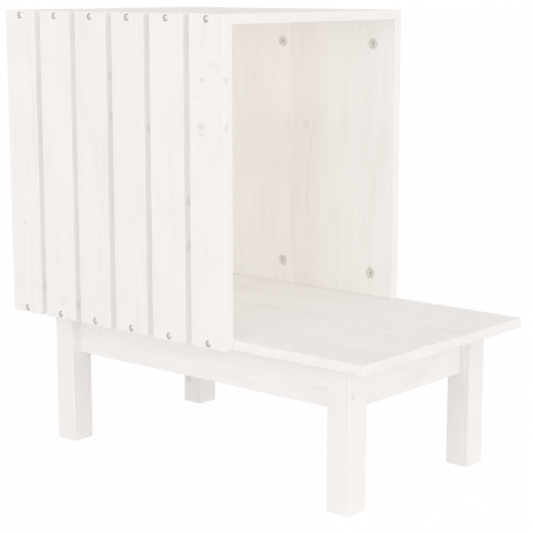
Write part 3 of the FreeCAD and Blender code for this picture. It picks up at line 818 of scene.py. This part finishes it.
# countersunk screws of the corner blocks: two up into the platform and one into each apron
blockScrewLook = {"length": 15.0}
platformScrewLook = {"length": 42.6}
countersunkLook = {
    "point": 0.2, "tip": 3.5, "core": 1.3, "crest": 1.72, "pitch": 1.7, "runOut": 1.0,
    "head": 3.45, "headHeight": 2.0, "rim": 0.25,
    "crossLength": 4.0, "crossWidth": 0.95, "crossDepth": 1.6, "crossTaper": 0.5,
}
corners = [(end, side) for end in (1, -1) for side in (-1, 1)]  # +X front, +Y right
baseLook = {
    "midY": 7.5, "apronX": 233.0, "apronY": 119.5,  # inner faces of the aprons
    "level": 170.2, "blockUnder": 153.4,            # heights of the bolts and of the blocks' undersides
    "nose": 7.0, "blockGap": 4.0, "blockThick": 14.0, "screwSeat": 6.0, "screwShare": 0.55, "inLeg": 20.0,
}
# along an apron, how far from the corner a block starts, ends and has its middle
blockNear = 2 * baseLook["nose"] + baseLook["blockGap"] * math.sqrt(2)
blockFar = blockNear + baseLook["blockThick"] * math.sqrt(2)
blockMid = (blockNear + blockFar) / 2


def cornerPoint(end, side, fromEnd, fromSide, height):
    # distances inward from the inner faces of the two aprons that meet here
    return Vector((end * (baseLook["apronX"] - fromEnd),
                   baseLook["midY"] + side * (baseLook["apronY"] - fromSide), height))


def makeCountersunk(name, length):
    look = countersunkLook
    tip, under = look["tip"] - length, -look["headHeight"]
    outline = [(look["point"], -length), (look["core"], tip)]
    outline += threadOutline(tip, under - look["runOut"], look["pitch"], look["core"], look["crest"])
    outline += [(look["crest"], under), (look["head"], -look["rim"]), (look["head"], 0)]
    screw = turnedPiece(name, roundSides["small"], outline)
    shapeWith(screw, crossTool(look, 0))
    tidyMesh(screw)
    return screw


platformScrewPlaces, blockScrewPlaces = [], []
seat, boltLevel = baseLook["screwSeat"], baseLook["level"]
for end, side in corners:
    middle = cornerPoint(end, side, blockMid / 2, blockMid / 2, baseLook["blockUnder"])
    across = Vector((-end, side, 0)).normalized() * baseLook["screwShare"] * blockMid / math.sqrt(2)
    platformScrewPlaces += [(middle + across, (0, 0, -1)), (middle - across, (0, 0, -1))]
    blockScrewPlaces.append((cornerPoint(end, side, blockMid, seat, boltLevel), (0, -side, 0)))
    blockScrewPlaces.append((cornerPoint(end, side, seat, blockMid, boltLevel), (-end, 0, 0)))
for name, node, look, places in (
        ("platformScrews", "platform_screws", platformScrewLook, platformScrewPlaces),
        ("blockScrews", "block_screws", blockScrewLook, blockScrewPlaces)):
    screws = copiesOf(makeCountersunk(name + "Model", look["length"]), name, places)
    handOver(screws, node, "house", zincSteel)
print("corner block screws made:", len(platformScrewPlaces) + len(blockScrewPlaces))


# hanger bolts with washers and nuts, on the diagonal of each corner
hangerLook = {
    "reach": 47.5, "crest": 2.95, "plain": 2.6,
    "point": 0.3, "tip": 3.0, "woodCore": 2.2, "woodPitch": 2.4, "woodEnd": 20.0, "runOut": 0.6,
    "runIn": 0.4, "machineStart": 30.0, "machineCore": 2.5, "machinePitch": 1.0,
    "endLength": 1.0, "endTaper": 0.3,
}
washerLook = {"radius": 6.5, "thick": 1.5, "hole": 3.4, "edge": 0.2}
nutLook = {
    "sides": 6, "flats": 10.0, "height": 5.0, "hole": 3.0, "countersink": 3.6,
    "faceRadius": 4.9, "chamfer": 0.5, "margin": 0.1,  # of the rounding tool outside the corners
}


def makeHanger(look):
    start, end = look["machineStart"], look["reach"] - look["endLength"]
    outline = [(look["point"], 0), (look["woodCore"], look["tip"])]
    outline += threadOutline(look["tip"], look["woodEnd"], look["woodPitch"], look["woodCore"], look["crest"])
    outline += [(look["plain"], look["woodEnd"] + look["runOut"]), (look["plain"], start - look["runIn"])]
    outline += threadOutline(start, end, look["machinePitch"], look["machineCore"], look["crest"])
    outline.append((look["machineCore"] - look["endTaper"], look["reach"]))
    return turnedPiece("hangerModel", roundSides["thin"], outline)


def makeWasher(look):
    edge, radius, thick, hole = look["edge"], look["radius"], look["thick"], look["hole"]
    washer = turnedPiece("washerModel", roundSides["middle"], [
        (radius - edge, 0), (radius, edge), (radius, thick - edge), (radius - edge, thick)])
    bore = [(hole, -overrun), (hole, thick + overrun)]
    shapeWith(washer, turnedPiece("washerTool", roundSides["small"], bore))
    tidyMesh(washer)
    return washer


def makeNut(look):
    height, chamfer, face = look["height"], look["chamfer"], look["faceRadius"]
    corner = look["flats"] / math.sqrt(3)
    nut = turnedPiece("nutModel", look["sides"], [(corner, 0), (corner, height)])
    wide = corner + look["margin"]
    rounded = turnedPiece("nutTool", roundSides["large"], [
        (face, 0), (wide, chamfer), (wide, height - chamfer), (face, height)])
    shapeWith(nut, rounded, "INTERSECT")
    wide, hole = look["countersink"], look["hole"]
    shapeWith(nut, turnedPiece("boreTool", roundSides["small"], [
        (wide, -overrun), (wide, 0), (hole, wide - hole), (hole, height - wide + hole), (wide, height),
        (wide, height + overrun)]))
    tidyMesh(nut)
    return nut


hangerPlaces, washerPlaces, nutPlaces = [], [], []
for end, side in corners:
    inward = Vector((-end, -side, 0)).normalized()
    nose = cornerPoint(end, side, baseLook["nose"], baseLook["nose"], boltLevel)
    face = cornerPoint(end, side, blockFar / 2, blockFar / 2, boltLevel)
    hangerPlaces.append((nose - inward * baseLook["inLeg"], inward))
    washerPlaces.append((face, inward))
    nutPlaces.append((face + inward * washerLook["thick"], inward))
for model, name, node, places in (
        (makeHanger(hangerLook), "hangerBolts", "hanger_bolts", hangerPlaces),
        (makeWasher(washerLook), "legWashers", "leg_washers", washerPlaces),
        (makeNut(nutLook), "legNuts", "leg_nuts", nutPlaces)):
    handOver(copiesOf(model, name, places), node, "house", zincSteel)
print("leg fixings made")


# cam bolts: a coarse thread in the board, a shank, a neck and the ball that the cam draws in
camBoltLook = {
    "threadLength": 10.0, "core": 2.35, "crest": 2.95, "pitch": 1.7, "chamfer": 0.5, "runOut": 0.6,
    "shank": 3.3, "shankLength": 24.8, "neck": 1.8, "ball": 3.0, "ballPlace": 33.0,
    "ballTurns": (-53.13, -40, -25, -8, 8, 25, 42, 58, 74, 86),  # degrees, from the neck to the tip
}


def makeCamBolt(look):
    chamfer, core, shank, top = look["chamfer"], look["core"], look["shank"], look["shankLength"]
    start = chamfer - look["threadLength"]
    outline = [(core - chamfer, -look["threadLength"]), (core, start)]
    outline += threadOutline(start, -look["runOut"], look["pitch"], core, look["crest"])
    outline += [(core, 0), (shank, 0), (shank, top - chamfer), (shank - chamfer, top), (look["neck"], top)]
    for turn in map(math.radians, look["ballTurns"]):
        outline.append((look["ball"] * math.cos(turn), look["ballPlace"] + look["ball"] * math.sin(turn)))
    return turnedPiece("camBoltModel", roundSides["small"], outline)


# joint heights and directions into the wall
boltEnds = ((hood["platformTop"], (0, 0, 1)), (hood["roofUnder"], (0, 0, -1)))
rightBoltPlaces = [((x, hood["wallMid"], height), into)
                   for x in hood["wallSpots"].values() for height, into in boltEnds]
backBoltPlaces = [((hood["backMid"], y, height), into)
                  for y in hood["backSpots"].values() for height, into in boltEnds]
for name, node, places in (("rightWallCamBolts", "right_wall_cam_bolts", rightBoltPlaces),
                           ("backWallCamBolts", "back_wall_cam_bolts", backBoltPlaces)):
    handOver(copiesOf(makeCamBolt(camBoltLook), name, places), node, "house", zincSteel)
print("cam bolts made")


# fluted dowels
dowelLook = {"radius": 3.0, "point": 1.0, "sides": 32, "flute": 0.93, "skin": 0.1}
wallDowelLook = {
    "length": 30.0, "sink": 9.0,  # depth in the platform or the roof
    "wallSpots": (-181.5, -20.5), "backSpots": (-49.0, 51.0),
}
apronDowelLook = {
    "length": 24.0,
    # in the aprons at the sides and at the ends: distances from the middle along X and Y, and heights
    "side": (238.0, 126.0, (139.0, 155.02)), "end": (239.5, 124.5, (146.98, 162.52)),
}


def makeDowel(name, length):
    look = dowelLook
    radius, point = look["radius"], look["point"]
    dowel = turnedPiece(name, look["sides"], [
        (radius - point, 0), (radius, point), (radius, length - point), (radius - point, length)])
    step = 2 * math.pi / look["sides"]

    def inFlute(place):
        turn = round(math.atan2(place.y, place.x) / step)
        return turn % 2 == 0 and place.to_2d().length > (radius - look["skin"]) * mm

    pickPoints(dowel, inFlute)
    bpy.ops.transform.resize(value=(look["flute"], look["flute"], 1), center_override=(0, 0, 0))
    bpy.ops.object.mode_set(mode="OBJECT")
    tidyMesh(dowel)
    return dowel


wallDowelPlaces, apronDowelPlaces = [], []
dowelSpots = [(x, hood["wallMid"]) for x in wallDowelLook["wallSpots"]]
dowelSpots += [(hood["backMid"], y) for y in wallDowelLook["backSpots"]]
for spot in dowelSpots:
    wallDowelPlaces.append(((*spot, hood["platformTop"] - wallDowelLook["sink"]), (0, 0, 1)))
    wallDowelPlaces.append(((*spot, hood["roofUnder"] + wallDowelLook["sink"]), (0, 0, -1)))
for end, side in corners:
    for label, into in (("side", (-end, 0, 0)), ("end", (0, -side, 0))):
        x, y, heights = apronDowelLook[label]
        apronDowelPlaces += [((end * x, baseLook["midY"] + side * y, height), into) for height in heights]
for name, node, look, places in (("wallDowels", "wall_dowels", wallDowelLook, wallDowelPlaces),
                                 ("apronDowels", "apron_dowels", apronDowelLook, apronDowelPlaces)):
    handOver(copiesOf(makeDowel(name + "Model", look["length"]), name, places), node, "house", beech)
print("dowels made")


# floor, world and lamps
studio = {
    "floorSize": 60.0, "floorColour": (0.94, 0.94, 0.94, 1),
    "floorGlow": 0.90,     # share of plain white in what the camera sees of the floor
    "glowStrength": 1.02,
    "plainWhite": (1, 1, 1, 1), "skyColour": (1.0, 0.965, 0.969, 1),
    "skyHigh": 0.81, "skyLow": 1.17, "skyRise": 0.8,         # strengths above and at the horizon
    "backShare": 0.20, "backFull": -0.6, "backNone": 0.1,    # less light from behind
    "bounces": 12,
}
# soft lamps: where they stand, what they face, how large they are in metres, and their watts
lamps = {
    "keyLamp": {"place": (0.5, -3.4, 1.5), "aim": (0, 0, 0.3), "size": (2.6, 2.6), "power": 13.6},
    "sideLamp": {"place": (3.4, -0.5, 0.75), "aim": (0, 0, 0.3), "size": (2.4, 1.3), "power": 8.0},
    "roofFill": {"place": (-0.100, 0.0, 0.43), "aim": (-0.100, 0.0, 1), "size": (0.18, 0.12), "power": 0.049},
    "cabinFill": {
        "place": (-0.150, -0.140, 0.30), "aim": (-0.190, 0.167, 0.24), "size": (0.12, 0.12), "power": 0.036,
    },
}


def addFloor():
    bpy.ops.object.select_all(action="DESELECT")
    bpy.ops.mesh.primitive_plane_add(size=studio["floorSize"], location=(0, 0, 0))
    floor = named("floor")
    made, tree, surface = newMaterial("floorWhite")
    tree.nodes.remove(surface)
    plain = addNode(tree, "ShaderNodeBsdfDiffuse")
    plain.inputs["Color"].default_value = studio["floorColour"]
    glow = addNode(tree, "ShaderNodeEmission")
    glow.inputs["Strength"].default_value = studio["glowStrength"]
    seen = addNode(tree, "ShaderNodeLightPath")
    blend = addNode(tree, "ShaderNodeMixShader")
    feed(tree, blend.inputs[0], calc(tree, "MULTIPLY", seen.outputs["Is Camera Ray"], studio["floorGlow"]))
    feed(tree, blend.inputs[1], plain.outputs[0])
    feed(tree, blend.inputs[2], glow.outputs[0])
    feed(tree, tree.nodes["Material Output"].inputs["Surface"], blend.outputs[0])
    floor.data.materials.append(made)


def addWorld():
    world = bpy.data.worlds.new("studioWorld")
    world.use_nodes = True
    bpy.context.scene.world = world
    tree = world.node_tree
    backdrop = tree.nodes["Background"]
    ahead, _, height = splitVector(tree, addNode(tree, "ShaderNodeTexCoord").outputs["Generated"])
    level = smoothRange(tree, height, 0.0, studio["skyRise"], studio["skyLow"], studio["skyHigh"])
    back = smoothRange(tree, ahead, studio["backFull"], studio["backNone"], studio["backShare"], 0.0)
    level = calc(tree, "SUBTRACT", level, back)
    # plain white for what is seen directly, in metal or through glass
    seen = addNode(tree, "ShaderNodeLightPath").outputs
    direct = calc(tree, "MAXIMUM", seen["Is Camera Ray"], seen["Is Glossy Ray"])
    direct = calc(tree, "MAXIMUM", direct, seen["Is Transmission Ray"])
    feed(tree, backdrop.inputs["Color"], mixColour(tree, direct, studio["skyColour"], studio["plainWhite"]))
    feed(tree, backdrop.inputs["Strength"],
         calc(tree, "MULTIPLY_ADD", calc(tree, "SUBTRACT", 1.0, level), direct, level))


def addLamp(name, look):
    lamp = bpy.data.lights.new(name, "AREA")
    lamp.shape = "RECTANGLE"
    lamp.size, lamp.size_y = look["size"]
    lamp.energy = look["power"]
    rig = bpy.data.objects.new(name, lamp)
    rig.location = look["place"]
    rig.rotation_euler = (Vector(look["aim"]) - Vector(look["place"])).to_track_quat("-Z", "Y").to_euler()
    rig.visible_camera = False
    bpy.context.scene.collection.objects.link(rig)


addFloor()
addWorld()
for lampName, lampLook in lamps.items():
    addLamp(lampName, lampLook)
bpy.context.scene.cycles.diffuse_bounces = studio["bounces"]
bpy.context.scene.cycles.max_bounces = studio["bounces"]
bpy.context.scene.view_settings.view_transform = "Standard"
print("studio lit")
